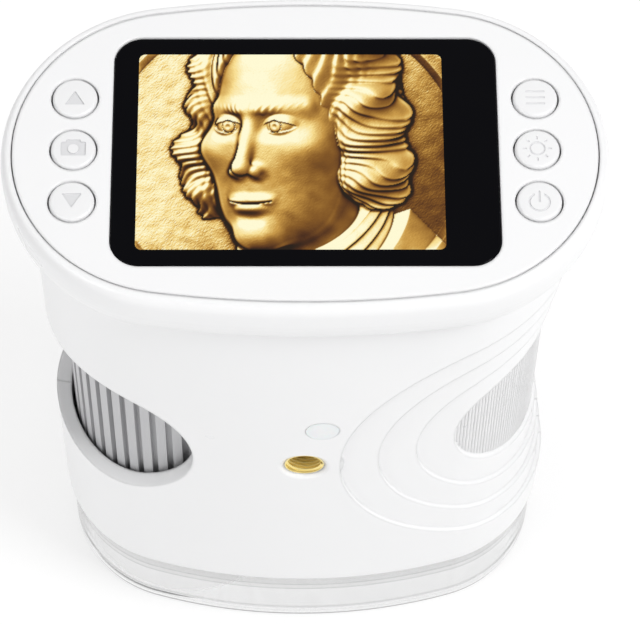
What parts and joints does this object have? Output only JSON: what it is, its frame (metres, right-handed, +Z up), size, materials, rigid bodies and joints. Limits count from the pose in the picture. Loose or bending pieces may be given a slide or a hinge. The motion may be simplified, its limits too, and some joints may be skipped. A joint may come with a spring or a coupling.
{
  "type": "handheld digital microscope",
  "caption": "Handheld digital microscope with a built-in screen, push keys, a ribbed focus wheel in the side, a stepped thumb rest and a clear viewing foot.",
  "frame": {"origin": "centre of the clear foot on the table, under the middle of the body", "axes": "+X to the right seen from the front, +Y to the back, +Z up through the screen"},
  "size_m": [0.0976, 0.0594, 0.1253],
  "materials": {
    "white_shell": "satin white moulded plastic",
    "key_white": "satin white key caps",
    "wheel_grey": "light grey moulded plastic",
    "black_glass": "gloss black printed cover glass with a clear picture area",
    "clear_plastic": "clear moulded plastic",
    "optical_glass": "coated lens glass",
    "filter_glass": "pale blue infrared filter",
    "milk_plastic": "translucent milk-white plastic",
    "white_plate": "white moulded plastic",
    "black_plastic": "matt black moulded plastic",
    "foam": "black foam",
    "display": "display module in a thin metal tray",
    "circuit_board": "green solder mask",
    "led_board_white": "white solder mask",
    "chip": "black epoxy with a dull face",
    "led": "white package with a yellow dome",
    "steel": "plated steel",
    "tin": "bright tin plate",
    "brass": "turned brass",
    "anodised": "black anodised aluminium",
    "flex": "amber polyimide film",
    "cell_wrap": "shrink-wrapped cell"
  },
  "bodies": {
    "housing": {"top_cover": "white_shell", "screen_glass": "black_glass", "screen_gasket": "foam", "lcd_panel": "display", "lcd_bracket": "black_plastic", "lcd_flex": "flex", "bracket_screws": "steel", "left_key_board": "circuit_board", "right_key_board": "circuit_board", "key_switches": "steel", "main_board": "circuit_board", "processor_chip": "chip", "memory_chip": "chip", "board_screws": "steel", "usb_port": "tin", "card_reader": "tin", "head_shell": "white_shell", "head_screws": "steel", "front_shell": "white_shell", "rear_shell": "white_shell", "shell_screws": "steel", "tripod_bush": "brass", "status_window": "milk_plastic", "lower_chassis": "black_plastic", "upper_chassis": "black_plastic", "guide_tube": "anodised", "sensor_board": "circuit_board", "image_sensor": "chip", "ir_filter": "filter_glass", "sensor_flex": "flex", "sensor_screws": "steel", "battery_cell": "cell_wrap", "battery_holder": "black_plastic", "base_plate": "white_plate", "diffuser_ring": "milk_plastic", "led_board": "led_board_white", "leds": "led", "base_skirt": "clear_plastic", "base_screws": "steel"},
    "focus_drum": {"focus_wheel": "wheel_grey", "cam_sleeve": "black_plastic"},
    "lens_group": {"lens_barrel": "anodised", "follower_pins": "steel", "front_lens": "optical_glass", "rear_lens": "optical_glass", "lens_retainer": "anodised"},
    "button_up_cap": {"button_up": "key_white"},
    "button_camera_cap": {"button_camera": "key_white"},
    "button_down_cap": {"button_down": "key_white"},
    "button_menu_cap": {"button_menu": "key_white"},
    "button_light_cap": {"button_light": "key_white"},
    "button_power_cap": {"button_power": "key_white"}
  },
  "joints": [
    {"name": "focus_turn", "type": "hinge", "parent": "housing", "child": "focus_drum", "pos_m": [-0.02129, 0, 0.06405], "axis": [0, 0, 1], "range_deg": [-120, 120]},
    {"name": "lens_slide", "type": "slide", "parent": "housing", "child": "lens_group", "axis": [0, 0, 1], "range_m": [-0.008, 0.008]},
    {"name": "up_press", "type": "slide", "parent": "housing", "child": "button_up_cap", "axis": [0, 0, -1], "range_m": [0, 0.0004], "stiffness_N_per_m": 300, "springref_m": -0.001},
    {"name": "camera_press", "type": "slide", "parent": "housing", "child": "button_camera_cap", "axis": [0, 0, -1], "range_m": [0, 0.0004], "stiffness_N_per_m": 300, "springref_m": -0.001},
    {"name": "down_press", "type": "slide", "parent": "housing", "child": "button_down_cap", "axis": [0, 0, -1], "range_m": [0, 0.0004], "stiffness_N_per_m": 300, "springref_m": -0.001},
    {"name": "menu_press", "type": "slide", "parent": "housing", "child": "button_menu_cap", "axis": [0, 0, -1], "range_m": [0, 0.0004], "stiffness_N_per_m": 300, "springref_m": -0.001},
    {"name": "light_press", "type": "slide", "parent": "housing", "child": "button_light_cap", "axis": [0, 0, -1], "range_m": [0, 0.0004], "stiffness_N_per_m": 300, "springref_m": -0.001},
    {"name": "power_press", "type": "slide", "parent": "housing", "child": "button_power_cap", "axis": [0, 0, -1], "range_m": [0, 0.0004], "stiffness_N_per_m": 300, "springref_m": -0.001}
  ],
  "couplings": [
    {"joint": "focus_turn", "follows": "lens_slide", "rad_per_m": 261.8}
  ]
}
